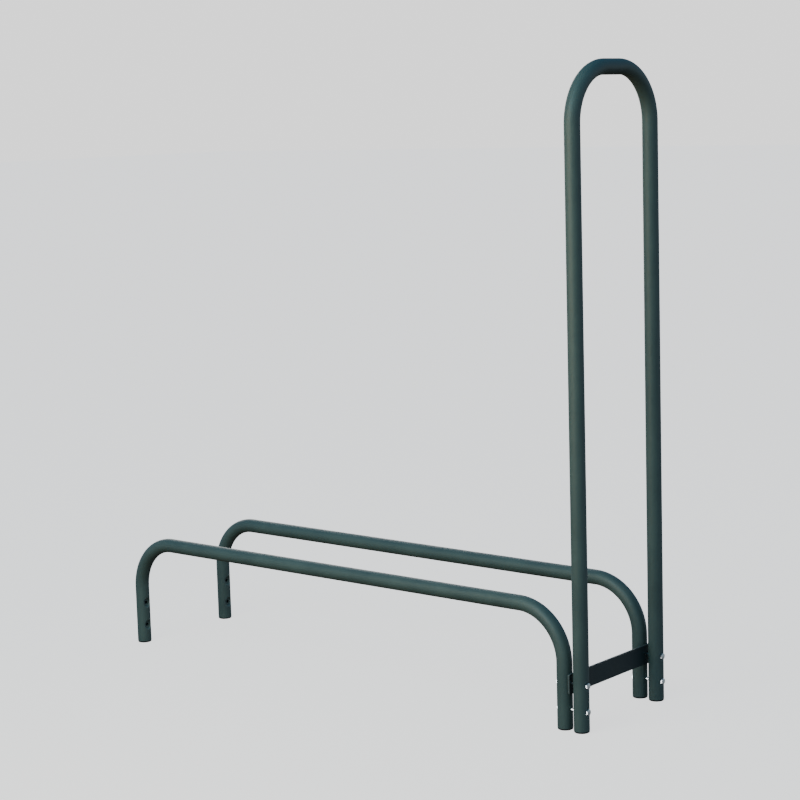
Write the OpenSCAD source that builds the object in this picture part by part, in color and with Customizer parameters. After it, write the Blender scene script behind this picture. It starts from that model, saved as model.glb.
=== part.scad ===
// Add-on module of a firewood log rack, bolted together from bent steel tube.
// Two low rails stand side by side and carry the logs. A tall upside-down U stands at the right-hand
// end and holds the stack. A flat strap ties the two sides together between the legs.
// The left-hand legs end in bare bolt holes, which take the upright of the next module.
// Frame: +X along the rails towards the upright, +Y from the front rail to the rear rail, +Z up.
// The origin is on the floor, under the middle of the bounding box.

/* [Tube] */
// Outside diameter of every tube
tube_d = 30; // [24:0.5:40]
// Wall thickness of every tube
tube_wall = 1.5; // [1:0.1:2.5]
// Radius of every bend, measured to the tube's centreline
bend_r = 102; // [60:1:120]

/* [Rack] */
// Distance between the centrelines of a rail's two legs
rail_span = 1143; // [500:1:2400]
// Distance between the centrelines of the front and rear legs
rack_depth = 253; // [245:1:500]
// Height of the top of the rails above the floor
rail_height = 243; // [200:1:400]
// Height of the top of the upright above the floor
upright_height = 1237; // [600:1:1800]

/* [Cross strap] */
// Height of the flat strap, up its face
strap_h = 38; // [20:1:46]
// Thickness of the strap, which spaces the upright away from the rails
strap_t = 4; // [2:0.5:8]
// Open space left between the strap and the upright's legs
strap_play = 3.5; // [0:0.5:6]
// How far each end of the strap reaches past the leg's centreline
strap_overhang = 11.5; // [8:0.5:14]
// Radius of the strap's corners
strap_corner_r = 2.5; // [1:0.5:4]

/* [Bolt holes] */
// Height of the lower bolts above the floor
bolt_low_z = 40; // [34:1:60]
// Distance from the lower bolts up to the upper bolts
bolt_pitch = 50; // [45:1:80]
// Diameter of the bolts
bolt_d = 6.35; // [5:0.05:8]
// Extra diameter of the holes that hold the rack's own bolts
hole_clearance = 0.65; // [0.3:0.05:1.5]
// Extra diameter of the left legs' holes, looser so that the next module's bolts find them
module_clearance = 1.15; // [0.8:0.05:1.6]

/* [Bolt heads and nuts] */
// Distance across the flats of the heads and nuts
hex_af = 11.1; // [10:0.1:13]
// Height of a bolt head, with its washer face
head_h = 4.2; // [3:0.1:6]
// Thickness of the washer face under a bolt head
washer_face_h = 0.4; // [0.2:0.1:0.8]
// Thickness of a nut
nut_h = 5.6; // [4:0.1:7]
// Extra diameter of the nut's bore, over the bolt
thread_clearance = 0.1; // [0.05:0.05:0.3]
// Length of thread that shows past a nut
bolt_tail = 0.9; // [0.5:0.1:4]
// Chamfer on the tip of a bolt
bolt_tip = 0.75; // [0.4:0.05:1.2]

/* [Pressed seats] */
// Depth of the seats pressed into the rail legs, which hide the nuts
nut_seat_depth = 5; // [3:0.5:6]
// Depth of the seats pressed into the upright's legs, under the bolt heads
head_seat_depth = 2; // [1:0.25:3]
// How much wider a seat's flat floor is than the corners of the nut or head on it
seat_margin = 1.2; // [0.5:0.1:2]
// Slope of the seat's side, away from the bolt's axis
seat_flare = 35; // [20:1:45]

/* [End plugs] */
// Thickness of the plug's foot, between the tube's end and the floor
plug_foot_h = 3.5; // [2:0.5:6]
// How far the foot's edge stays inside the tube's outside
plug_inset = 0.3; // [0:0.1:1]
// Rounding of the foot's lower edge
plug_edge_r = 1.8; // [0.5:0.1:1.9]
// Length of the stem that plugs into the tube
plug_stem_h = 15; // [8:1:20]
// Wall thickness of the hollow stem
plug_stem_wall = 2; // [1.5:0.5:3]
// Number of gripping ribs on the stem
plug_ribs = 3; // [2:1:4]
// How far each rib stands out from the stem
plug_rib_h = 1; // [0.5:0.1:1.5]
// Gap between a rib and the tube's bore
plug_fit = 0.05; // [0.02:0.01:0.2]

/* [Hidden] */
$fn = 96;
tube_r = tube_d / 2;
bore_r = tube_r - tube_wall;
rail_z = rail_height - tube_r;
upright_z = upright_height - tube_r;
side_y = rack_depth / 2;
leg_gap = strap_t + strap_play;
head_proud = max(0, head_h - head_seat_depth);
overall_length = rail_span + 2 * tube_d + leg_gap + head_proud;
left_x = tube_r - overall_length / 2;
right_x = left_x + rail_span;
upright_x = right_x + tube_d + leg_gap;
strap_x = right_x + tube_r;
hole_r = (bolt_d + hole_clearance) / 2;
module_hole_r = (bolt_d + module_clearance) / 2;
bolt_high_z = bolt_low_z + bolt_pitch;
bolt_heights = [bolt_low_z, bolt_high_z];
hex_corner_r = hex_af / 2 / cos(30);
seat_floor_r = hex_corner_r + seat_margin / 2;
head_x = upright_x + tube_r - head_seat_depth;
nut_x = right_x - tube_r + nut_seat_depth;
bolt_len = head_x - nut_x + nut_h + bolt_tail;
// The flat of a head or nut is a circle of this share of the distance across the flats
hex_face_share = 0.95;
// Slope of the chamfer on the corners of a head or nut
hex_chamfer_slope = 30;
// Share of the rib spacing that a rib takes up
rib_share = 0.6;
// A cut runs past the surface by this much, so that it leaves no skin
cut = 1;
// One solid sinks into another by this much where they are joined on a slope
sink = 0.1;

coat = [0.25, 0.31, 0.30];
strap_coat = [0.13, 0.16, 0.17];
zinc = [0.78, 0.80, 0.82];
black_plastic = [0.05, 0.05, 0.06];

// A solid rod bent into an upside-down U in the XZ plane, with its left leg on the Z axis.
module bent_rod(span, centre_z, foot_z, rod_r) {
    leg_top = centre_z - bend_r;
    for (x = [0, span])
        translate([x, 0, foot_z]) cylinder(r = rod_r, h = leg_top - foot_z);
    translate([bend_r, 0, centre_z])
        rotate([0, 90, 0]) cylinder(r = rod_r, h = span - 2 * bend_r);
    for (bend = [[bend_r, 90], [span - bend_r, 0]])
        translate([bend[0], 0, leg_top])
            rotate([90, 0, 0])
                rotate([0, 0, bend[1]])
                    rotate_extrude(angle = 90) translate([bend_r, 0]) circle(r = rod_r);
}

// A cone that presses a flat-floored seat into the +X side of a leg standing on the Z axis.
// With skin above 0 the cone is larger by that thickness, which shapes the inside of the wall.
module seat_cone(depth, skin) {
    floor_x = tube_r - depth - skin;
    floor_r = seat_floor_r + skin * (1 / cos(seat_flare) - tan(seat_flare));
    reach = depth + skin + cut;
    translate([floor_x, 0, 0])
        rotate([0, 90, 0]) cylinder(r1 = floor_r, r2 = floor_r + reach * tan(seat_flare), h = reach);
}

// Repeats a seat at both bolt heights. side is 1 for the +X side of the leg and -1 for the -X side.
module leg_seats(side, depth, skin) {
    for (z = bolt_heights)
        translate([0, 0, z]) rotate([0, 0, side > 0 ? 0 : 180]) seat_cone(depth, skin);
}

// The two bolt holes through both walls of a leg.
module leg_holes(radius) {
    for (z = bolt_heights)
        translate([-tube_r - cut, 0, z]) rotate([0, 90, 0]) cylinder(r = radius, h = tube_d + 2 * cut);
}

// One rail, with its left leg on the Z axis and a seat on the inner side of each leg.
module rail() {
    color(coat) difference() {
        bent_rod(rail_span, rail_z, plug_foot_h, tube_r);
        leg_seats(1, nut_seat_depth, 0);
        translate([rail_span, 0, 0]) leg_seats(-1, nut_seat_depth, 0);
        difference() {
            bent_rod(rail_span, rail_z, plug_foot_h - cut, bore_r);
            leg_seats(1, nut_seat_depth, tube_wall);
            translate([rail_span, 0, 0]) leg_seats(-1, nut_seat_depth, tube_wall);
        }
        leg_holes(module_hole_r);
        translate([rail_span, 0, 0]) leg_holes(hole_r);
    }
}

module front_rail() translate([left_x, -side_y, 0]) rail();
module rear_rail() translate([left_x, side_y, 0]) rail();

// Sets its children on the axis of each of the upright's legs.
module upright_legs() {
    for (side = [-1, 1]) translate([upright_x, side * side_y, 0]) children();
}

// The upright's rod, standing across the rack over both rows of legs.
module upright_rod(foot_z, rod_r) {
    translate([upright_x, -side_y, 0])
        rotate([0, 0, 90]) bent_rod(rack_depth, upright_z, foot_z, rod_r);
}

module upright_frame() {
    color(coat) difference() {
        upright_rod(plug_foot_h, tube_r);
        upright_legs() leg_seats(1, head_seat_depth, 0);
        difference() {
            upright_rod(plug_foot_h - cut, bore_r);
            upright_legs() leg_seats(1, head_seat_depth, tube_wall);
        }
        upright_legs() leg_holes(hole_r);
    }
}

// A rectangle centred on the origin with round corners.
module round_rectangle(size_x, size_y, corner_r) {
    square([size_x - 2 * corner_r, size_y], center = true);
    square([size_x, size_y - 2 * corner_r], center = true);
    for (x = [-1, 1], y = [-1, 1])
        translate([x * (size_x / 2 - corner_r), y * (size_y / 2 - corner_r)]) circle(r = corner_r);
}

// Flat bar behind the upright's legs, held by the two upper bolts.
module cross_strap() {
    color(strap_coat)
        translate([strap_x, 0, bolt_high_z])
            rotate([90, 0, 90])
                linear_extrude(height = strap_t) difference() {
                    round_rectangle(rack_depth + 2 * strap_overhang, strap_h, strap_corner_r);
                    for (side = [-1, 1]) translate([side * side_y, 0]) circle(r = hole_r);
                }
}

// A hexagonal prism standing on the XY plane, with chamfered top corners.
module chamfered_hex(height) {
    flat_r = hex_af / 2 * hex_face_share;
    chamfer_h = (hex_corner_r - flat_r) * tan(hex_chamfer_slope);
    intersection() {
        cylinder(r = hex_corner_r, h = height, $fn = 6);
        union() {
            cylinder(r = hex_corner_r + cut, h = height - chamfer_h);
            translate([0, 0, height - chamfer_h]) cylinder(r1 = hex_corner_r, r2 = flat_r, h = chamfer_h);
        }
    }
}

// Bolt along X with its head towards +X. The underside of the head is at x = 0.
module bolt() {
    color(zinc) {
        rotate([0, 90, 0]) {
            cylinder(d = hex_af * hex_face_share, h = washer_face_h);
            translate([0, 0, washer_face_h]) chamfered_hex(head_h - washer_face_h);
        }
        rotate([0, -90, 0]) {
            cylinder(d = bolt_d, h = bolt_len - bolt_tip);
            translate([0, 0, bolt_len - bolt_tip])
                cylinder(d1 = bolt_d, d2 = bolt_d - 2 * bolt_tip, h = bolt_tip);
        }
    }
}

// Nut on the bolt, with its bearing face at x = 0 and its body towards -X.
module nut() {
    color(zinc) rotate([0, -90, 0]) difference() {
        intersection() {
            chamfered_hex(nut_h);
            translate([0, 0, nut_h]) mirror([0, 0, 1]) chamfered_hex(nut_h);
        }
        translate([0, 0, -cut]) cylinder(d = bolt_d + thread_clearance, h = nut_h + 2 * cut);
    }
}

module place_bolt(side, z) translate([head_x, side * side_y, z]) bolt();
module place_nut(side, z) translate([nut_x, side * side_y, z]) nut();

module bolt_front_upper() place_bolt(-1, bolt_high_z);
module bolt_front_lower() place_bolt(-1, bolt_low_z);
module bolt_rear_upper() place_bolt(1, bolt_high_z);
module bolt_rear_lower() place_bolt(1, bolt_low_z);
module nut_front_upper() place_nut(-1, bolt_high_z);
module nut_front_lower() place_nut(-1, bolt_low_z);
module nut_rear_upper() place_nut(1, bolt_high_z);
module nut_rear_lower() place_nut(1, bolt_low_z);

// Moulded plug: a round-edged foot under the tube's end and a ribbed hollow stem inside the tube.
module plug() {
    foot_r = tube_r - plug_inset;
    stem_r = bore_r - plug_fit - plug_rib_h;
    rib_pitch = plug_stem_h / (plug_ribs + 0.5);
    color(black_plastic) {
        translate([0, 0, plug_edge_r]) cylinder(r = foot_r, h = plug_foot_h - plug_edge_r);
        cylinder(r = foot_r - plug_edge_r, h = plug_foot_h);
        translate([0, 0, plug_edge_r])
            rotate_extrude() translate([foot_r - plug_edge_r, 0]) circle(r = plug_edge_r);
        difference() {
            union() {
                cylinder(r = stem_r, h = plug_foot_h + plug_stem_h);
                for (i = [0 : plug_ribs - 1])
                    translate([0, 0, plug_foot_h + rib_pitch * (i + 0.5)])
                        cylinder(r1 = bore_r - plug_fit, r2 = stem_r - sink, h = rib_pitch * rib_share);
            }
            translate([0, 0, plug_foot_h]) cylinder(r = stem_r - plug_stem_wall, h = plug_stem_h + cut);
        }
    }
}

module plug_rail_front_left() translate([left_x, -side_y, 0]) plug();
module plug_rail_rear_left() translate([left_x, side_y, 0]) plug();
module plug_rail_front_right() translate([right_x, -side_y, 0]) plug();
module plug_rail_rear_right() translate([right_x, side_y, 0]) plug();
module plug_upright_front() translate([upright_x, -side_y, 0]) plug();
module plug_upright_rear() translate([upright_x, side_y, 0]) plug();

front_rail();
rear_rail();
upright_frame();
cross_strap();
bolt_front_upper();
bolt_front_lower();
bolt_rear_upper();
bolt_rear_lower();
nut_front_upper();
nut_front_lower();
nut_rear_upper();
nut_rear_lower();
plug_rail_front_left();
plug_rail_rear_left();
plug_rail_front_right();
plug_rail_rear_right();
plug_upright_front();
plug_upright_rear();
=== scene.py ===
# %% [markdown]
# # A bolted firewood rack in powder-coated steel tube
# The real object is a handful of bent tubes and a bag of quarter-inch bolts. Two low rails carry the
# logs, a tall upside-down U stands at one end and stops them rolling off, and a flat strap ties the two
# sides together. Each leg stands on a moulded plug.
#
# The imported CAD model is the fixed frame. It says where every piece is and how large it is, so the cells
# below read each place from its box and only decide how a piece looks: the soft lip of a pressed seat,
# the flattened inside of a bend, a cut thread, the peel of a powder coat.

# %% Load the frame
from math import cos, pi, radians, sin, sqrt, tan

import bmesh
import bpy
from mathutils import Matrix, Vector


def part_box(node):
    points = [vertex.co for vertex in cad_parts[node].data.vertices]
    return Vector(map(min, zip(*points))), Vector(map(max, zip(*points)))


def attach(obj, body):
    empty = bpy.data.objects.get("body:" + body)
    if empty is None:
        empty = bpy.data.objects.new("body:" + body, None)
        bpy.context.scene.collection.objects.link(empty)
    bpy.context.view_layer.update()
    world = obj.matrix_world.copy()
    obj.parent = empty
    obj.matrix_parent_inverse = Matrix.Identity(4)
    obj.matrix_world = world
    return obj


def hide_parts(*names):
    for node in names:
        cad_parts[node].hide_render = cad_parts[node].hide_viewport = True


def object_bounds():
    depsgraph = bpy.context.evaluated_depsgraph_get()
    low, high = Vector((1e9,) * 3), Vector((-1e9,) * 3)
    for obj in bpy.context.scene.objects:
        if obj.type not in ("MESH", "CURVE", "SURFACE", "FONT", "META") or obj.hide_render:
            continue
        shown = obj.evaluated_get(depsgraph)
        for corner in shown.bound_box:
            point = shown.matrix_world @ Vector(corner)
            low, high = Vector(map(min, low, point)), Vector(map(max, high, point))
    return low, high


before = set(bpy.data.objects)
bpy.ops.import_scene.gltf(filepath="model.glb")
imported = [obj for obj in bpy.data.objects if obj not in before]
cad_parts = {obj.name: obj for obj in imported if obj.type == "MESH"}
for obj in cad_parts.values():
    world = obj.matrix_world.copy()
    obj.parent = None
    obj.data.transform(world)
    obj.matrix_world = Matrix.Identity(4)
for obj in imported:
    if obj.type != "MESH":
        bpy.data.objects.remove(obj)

MM = 0.001
cad_low, cad_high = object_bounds()
print("CAD box in mm:", [round(v / MM, 1) for v in (*cad_low, *cad_high)])

# %% [markdown]
# ## Sizes
# Most sizes are differences between the boxes of the CAD nodes, so they follow the frame if it changes.
# The few that no box can show, such as the bend radius and the wall of the tube, are named here once.

# %% Sizes of the rack
BEND_RADIUS = 102 * MM
TUBE_WALL = 1.5 * MM
OWN_HOLE_RADIUS = 3.5 * MM
MODULE_HOLE_RADIUS = 3.75 * MM
HEX_ACROSS_FLATS = 11.1 * MM
HEAD_HEIGHT = 4.2 * MM
WASHER_FACE = 0.4 * MM
BOLT_DIAMETER = 6.35 * MM
SEAT_FLOOR_RADIUS = HEX_ACROSS_FLATS / sqrt(3) + 0.6 * MM
SEAT_FLARE = radians(35)

rail_low, rail_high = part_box("front_rail")
frame_low, frame_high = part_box("upright_frame")
tube_radius = (frame_high.x - frame_low.x) / 2
leg_foot = rail_low.z
side_y = frame_high.y - tube_radius
left_x, right_x = rail_low.x + tube_radius, rail_high.x - tube_radius
rail_top, upright_top = rail_high.z - tube_radius, frame_high.z - tube_radius
upright_x = (frame_low.x + frame_high.x) / 2


def middle(node):
    low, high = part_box(node)
    return (low + high) / 2


bolt_heights = [middle("bolt_front_lower").z, middle("bolt_front_upper").z]
head_face_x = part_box("bolt_front_lower")[1].x - HEAD_HEIGHT
nut_face_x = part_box("nut_front_lower")[1].x
head_seat_depth = upright_x + tube_radius - head_face_x
nut_seat_depth = nut_face_x - (right_x - tube_radius)
print(f"tube {2 * tube_radius / MM:.1f} mm, rails {(right_x - left_x) / MM:.0f} mm from leg to leg")
print(f"head seats {head_seat_depth / MM:.1f} mm deep, nut seats {nut_seat_depth / MM:.1f} mm deep")

# %% [markdown]
# ## Camera
# The camera stands off the front right corner and a little above the rack, where both rails and the
# whole upright show. A long lens from four metres keeps the tall frame from leaning. The camera could be
# aimed with a Track To constraint, but three turns about known axes say the same thing openly: azimuth
# around the rack, elevation above it, and a slight roll of the hand.

# %% Camera
CAMERA_AZIMUTH = radians(40.104)
CAMERA_ELEVATION = radians(8.106)
CAMERA_ROLL = radians(-1.645)
CAMERA_DISTANCE = 4.2248
LENS_MM = 92.94
# The lens axis passes this far to the right of the middle of the rack, and this far below it
AIM_RIGHT, AIM_DOWN = 0.0486, 0.0526


def make_camera():
    toward = Vector((-sin(CAMERA_AZIMUTH) * cos(CAMERA_ELEVATION),
                     cos(CAMERA_AZIMUTH) * cos(CAMERA_ELEVATION),
                     -sin(CAMERA_ELEVATION)))
    right = Vector((cos(CAMERA_AZIMUTH), sin(CAMERA_AZIMUTH), 0))
    up = right.cross(toward)
    aim = (cad_low + cad_high) / 2 + right * AIM_RIGHT - up * AIM_DOWN
    tilt = Matrix.Rotation(-CAMERA_ROLL, 3, toward)
    axes = Matrix((tilt @ right, tilt @ up, -toward)).transposed()
    data = bpy.data.cameras.new("camera")
    data.lens = LENS_MM
    data.sensor_width = 36
    camera = bpy.data.objects.new("camera", data)
    camera.matrix_world = Matrix.Translation(aim - toward * CAMERA_DISTANCE) @ axes.to_4x4()
    bpy.context.scene.collection.objects.link(camera)
    bpy.context.scene.camera = camera
    return camera, toward, right


camera, toward, camera_right = make_camera()
print("camera stands at", [round(v, 3) for v in camera.matrix_world.translation])

# %% [markdown]
# ## Studio
# Satin paint on a round tube is read from its highlights, so the lights matter as much as the paint. One
# big cool softbox to the left of the camera draws a long highlight down each tube, a warm one stands near
# the head of the upright, and one behind keeps the back readable. Zinc is a mirror of a kind and
# needs something bright to reflect: a low softbox is linked to the bolts and nuts alone, so that it picks
# out their flats and leaves the paint as it is.
#
# A cool dome stands in for open sky and tints whatever faces up. The world is dark below the horizon, and
# the pale floor is left out of the bounce, so that the undersides fall away as they do outdoors.

# %% Lights, sky and floor
KEY_DISTANCE, KEY_SIZE, KEY_POWER = 5.0, 3.6, 136
KEY_TURN, KEY_LIFT, KEY_COLOUR = radians(38), radians(38), (0.26, 0.80, 1.0)
WARM_DISTANCE, WARM_SIZE, WARM_POWER = 1.9, 1.5, 32
WARM_TURN, WARM_LIFT, WARM_COLOUR = radians(54), radians(6), (1.0, 0.84, 0.54)
GLINT_DISTANCE, GLINT_SIZE, GLINT_POWER = 2.0, 0.9, 34
GLINT_TURN, GLINT_LIFT, GLINT_COLOUR = radians(80), radians(-5), (0.95, 0.98, 1.0)
BACK_DISTANCE, BACK_SIZE, BACK_POWER = 4.5, 2.8, 90
BACK_TURN, BACK_LIFT, BACK_COLOUR = radians(170), radians(14), (1.0, 0.96, 0.88)
SKY_COLOUR, SKY_STRENGTH = (0.08, 0.27, 0.54), 0.8
HORIZON_COLOUR, GROUND_COLOUR = (0.66, 0.80, 0.86), (0.09, 0.072, 0.058)
# Where the dome leaves the ground's colour, and where the horizon's and the sky's are full.
# 0 is straight down and 1 is straight up
GROUND_END, HORIZON_FULL, SKY_FULL = 0.32, 0.44, 0.80
PAPER_GLOW = 1.5
FLOOR_COLOUR, FLOOR_SHARE, FLOOR_REACH = (0.30, 0.26, 0.23), 0.10, 40


def connect(tree, kind, inputs=None, **settings):
    """Adds a node, sets its properties, and fills its inputs with numbers or with other nodes' outputs."""
    node = tree.nodes.new(kind)
    for name, value in settings.items():
        setattr(node, name, value)
    for name, value in (inputs or {}).items():
        if isinstance(value, bpy.types.NodeSocket):
            tree.links.new(value, node.inputs[name])
        else:
            node.inputs[name].default_value = value
    return node


def colour_ramp(tree, factor, stops):
    """A colour ramp through (position, colour) stops."""
    node = connect(tree, "ShaderNodeValToRGB", {"Fac": factor})
    marks = node.color_ramp.elements
    for mark, (place, colour) in zip([marks[0], *(marks.new(0.5) for _ in stops[2:]), marks[-1]], stops):
        mark.position = place
        mark.color = (*colour, 1)
    return node.outputs["Color"]


def from_rack(turn, lift):
    """A direction from the rack: turned to the left of the camera, and lifted above the floor."""
    flat = -Vector((toward.x, toward.y, 0)).normalized() * cos(turn) - camera_right * sin(turn)
    return flat * cos(lift) + Vector((0, 0, sin(lift)))


def make_sky():
    world = bpy.data.worlds.new("sky")
    world.use_nodes = True
    tree = world.node_tree
    tree.nodes.clear()
    place = connect(tree, "ShaderNodeTexCoord").outputs["Generated"]
    height = connect(tree, "ShaderNodeSeparateXYZ", {0: place}).outputs["Z"]
    level = connect(tree, "ShaderNodeMapRange", {"Value": height, "From Min": -1.0, "From Max": 1.0})
    dome = colour_ramp(tree, level.outputs[0], [
        (0.0, GROUND_COLOUR), (GROUND_END, GROUND_COLOUR),
        (HORIZON_FULL, HORIZON_COLOUR), (SKY_FULL, SKY_COLOUR)])
    glow = connect(tree, "ShaderNodeBackground", {"Color": dome, "Strength": SKY_STRENGTH})
    paper = connect(tree, "ShaderNodeBackground", {"Color": (1, 1, 1, 1), "Strength": PAPER_GLOW})
    seen = connect(tree, "ShaderNodeLightPath").outputs["Is Camera Ray"]
    both = connect(tree, "ShaderNodeMixShader", {0: seen, 1: glow.outputs[0], 2: paper.outputs[0]})
    connect(tree, "ShaderNodeOutputWorld", {"Surface": both.outputs[0]})
    bpy.context.scene.world = world


def make_softbox(name, target, away, size, power, colour):
    """A square area light that stands away from its target and faces it."""
    data = bpy.data.lights.new(name, "AREA")
    data.size = size
    data.energy = power
    data.color = colour
    light = bpy.data.objects.new(name, data)
    place = target + away
    facing = (target - place).to_track_quat("-Z", "Y").to_matrix().to_4x4()
    light.matrix_world = Matrix.Translation(place) @ facing
    bpy.context.scene.collection.objects.link(light)
    return light


def make_floor():
    mesh = bpy.data.meshes.new("floor")
    corners = [(x * FLOOR_REACH, y * FLOOR_REACH, 0) for x, y in ((-1, -1), (1, -1), (1, 1), (-1, 1))]
    mesh.from_pydata(corners, [], [(0, 1, 2, 3)])
    floor = bpy.data.objects.new("floor", mesh)
    bpy.context.scene.collection.objects.link(floor)
    paint = bpy.data.materials.new("floor_paper")
    paint.use_nodes = True
    shader = paint.node_tree.nodes["Principled BSDF"]
    shader.inputs["Base Color"].default_value = (*FLOOR_COLOUR, 1)
    shader.inputs["Roughness"].default_value = 1
    shader.inputs["Specular IOR Level"].default_value = 0
    shader.inputs["Emission Color"].default_value = (1, 1, 1, 1)
    shader.inputs["Emission Strength"].default_value = PAPER_GLOW - FLOOR_SHARE
    mesh.materials.append(paint)
    floor.visible_diffuse = False
    floor.visible_glossy = False
    floor.visible_shadow = False
    return floor


make_sky()
rack_middle, upright_head = Vector((0.2, 0, 0.5)), Vector((upright_x, 0, 1.1))
bolts_middle = Vector((upright_x, 0, sum(bolt_heights) / 2))
make_softbox("key_softbox", rack_middle, from_rack(KEY_TURN, KEY_LIFT) * KEY_DISTANCE,
             KEY_SIZE, KEY_POWER, KEY_COLOUR)
make_softbox("warm_softbox", upright_head, from_rack(WARM_TURN, WARM_LIFT) * WARM_DISTANCE,
             WARM_SIZE, WARM_POWER, WARM_COLOUR)
glint = make_softbox("glint_softbox", bolts_middle, from_rack(GLINT_TURN, GLINT_LIFT) * GLINT_DISTANCE,
                     GLINT_SIZE, GLINT_POWER, GLINT_COLOUR)
back = make_softbox("back_softbox", rack_middle, from_rack(BACK_TURN, BACK_LIFT) * BACK_DISTANCE,
                    BACK_SIZE, BACK_POWER, BACK_COLOUR)
# The back light would draw a bright band on the floor behind the rack, so the floor is left out of it
not_back_lit = bpy.data.collections.new("not_back_lit")
not_back_lit.objects.link(make_floor())
back.light_linking.receiver_collection = not_back_lit
not_back_lit.collection_objects[0].light_linking.link_state = "EXCLUDE"
print("lights:", [light.name for light in bpy.data.lights])

# %% [markdown]
# ## Powder coat
# Powder coat is plastic dust baked until it flows. It never flows quite flat: the surface keeps a fine
# orange peel about a millimetre across, and its gloss is satin. An image could carry that, but noise read
# from Object coordinates has no seams and stays put on every tube. Where a press, a drill or a saw has
# been at work the coat is thin, and the grey primer shows. The tubes carry an attribute for that, worked
# out from their own shape. The edges of the strap carry the same attribute, and there it is a painted
# highlight: the edges are painted lighter, towards the primer colour, where the light catches them.

# %% Powder coat for the tubes and the strap
COAT_COLOUR = (0.052, 0.078, 0.070)
COAT_DARK = (0.040, 0.062, 0.057)
PRIMER_AND_HIGHLIGHT = (0.13, 0.15, 0.145)
# The strap has the same powder coat as the tubes; its colour is painted about three times darker, as
# painted shade
STRAP_SHADE_COLOUR = (0.016, 0.025, 0.026)
STRAP_DARK_SHARE = 0.8
MOTTLE_PER_METRE, SPECKS_PER_METRE, GRIT_PER_METRE = 14, 2300, 900
PEEL_PER_METRE, PEEL_STRENGTH, PEEL_DEPTH = 620, 0.35, 0.2 * MM
SAG_PER_METRE, SAG_STRENGTH, SAG_DEPTH = 70, 0.25, 0.6 * MM
SPECK_FROM, SPECK_FULL, SPECK_SHARE = 0.70, 0.78, 0.35
GRIT_FROM, GRIT_FULL = 0.32, 0.80
COAT_ROUGHNESS = (0.50, 0.60)


def new_material(name):
    """A material with its Principled shader, its tree and its Object coordinates."""
    material = bpy.data.materials.new(name)
    material.use_nodes = True
    tree = material.node_tree
    place = connect(tree, "ShaderNodeTexCoord").outputs["Object"]
    return material, tree, tree.nodes["Principled BSDF"], place


def noise(tree, place, scale, detail=2.0, roughness=0.5):
    return connect(tree, "ShaderNodeTexNoise", {
        "Vector": place, "Scale": scale, "Detail": detail, "Roughness": roughness}).outputs["Fac"]


def spread(tree, value, low, high, to_low=0.0, to_high=1.0):
    """Takes the stretch of value from low to high and spreads it from to_low to to_high."""
    return connect(tree, "ShaderNodeMapRange", {
        "Value": value, "From Min": low, "From Max": high, "To Min": to_low, "To Max": to_high}).outputs[0]


def blend_colour(tree, factor, first, second, mode="MIX"):
    node = connect(tree, "ShaderNodeMix", data_type="RGBA", blend_type=mode)
    for socket, value in ((node.inputs[0], factor), (node.inputs[6], first), (node.inputs[7], second)):
        if isinstance(value, bpy.types.NodeSocket):
            tree.links.new(value, socket)
        else:
            socket.default_value = (*value, 1) if isinstance(value, tuple) else value
    return node.outputs[2]


def coat_material(name, colour, dark, primer_and_highlight):
    material, tree, shader, place = new_material(name)
    mottle = noise(tree, place, MOTTLE_PER_METRE, detail=4)
    base = blend_colour(tree, spread(tree, mottle, 0.35, 0.65), dark, colour)
    specks = noise(tree, place, SPECKS_PER_METRE, detail=1)
    base = blend_colour(tree, spread(tree, specks, SPECK_FROM, SPECK_FULL, 0.0, SPECK_SHARE), base, primer_and_highlight)
    # Where the attribute is set, the coat turns towards primer: wear on the tubes' seat lips, and a painted
    # highlight on the strap's edges
    wear_and_edge_highlight = connect(tree, "ShaderNodeAttribute", attribute_name="wear_and_edge_highlight").outputs["Fac"]
    grit = noise(tree, place, GRIT_PER_METRE, detail=3)
    grit_mask = spread(tree, grit, GRIT_FROM, GRIT_FULL)
    wear_and_highlight = connect(tree, "ShaderNodeMath", {0: wear_and_edge_highlight, 1: grit_mask}, operation="MULTIPLY")
    base = blend_colour(tree, wear_and_highlight.outputs[0], base, primer_and_highlight)
    tree.links.new(base, shader.inputs["Base Color"])
    tree.links.new(spread(tree, mottle, 0.3, 0.7, *COAT_ROUGHNESS), shader.inputs["Roughness"])
    peel = noise(tree, place, PEEL_PER_METRE, detail=1.5)
    sag = noise(tree, place, SAG_PER_METRE, detail=2)
    coarse = connect(tree, "ShaderNodeBump", {
        "Height": sag, "Strength": SAG_STRENGTH, "Distance": SAG_DEPTH})
    fine = connect(tree, "ShaderNodeBump", {
        "Height": peel, "Strength": PEEL_STRENGTH, "Distance": PEEL_DEPTH, "Normal": coarse.outputs[0]})
    tree.links.new(fine.outputs[0], shader.inputs["Normal"])
    return material


tube_coat = coat_material("tube_powder_coat", COAT_COLOUR, COAT_DARK, PRIMER_AND_HIGHLIGHT)
# The strap's coat and its mottle are painted darker than the tubes': painted shade
strap_shade_dark = tuple(STRAP_DARK_SHARE * v for v in STRAP_SHADE_COLOUR)
strap_coat = coat_material("strap_powder_coat", STRAP_SHADE_COLOUR, strap_shade_dark, PRIMER_AND_HIGHLIGHT)
print("powder coats:", tube_coat.name, strap_coat.name)

# %% [markdown]
# ## Zinc plate and moulded plastic
# Bright zinc is a metal with a thin clear passivate, so it is cool and a little cloudy, never a mirror.
# The plugs are injection moulded with a spark-eroded finish: black, dull, and evenly grained.

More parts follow.
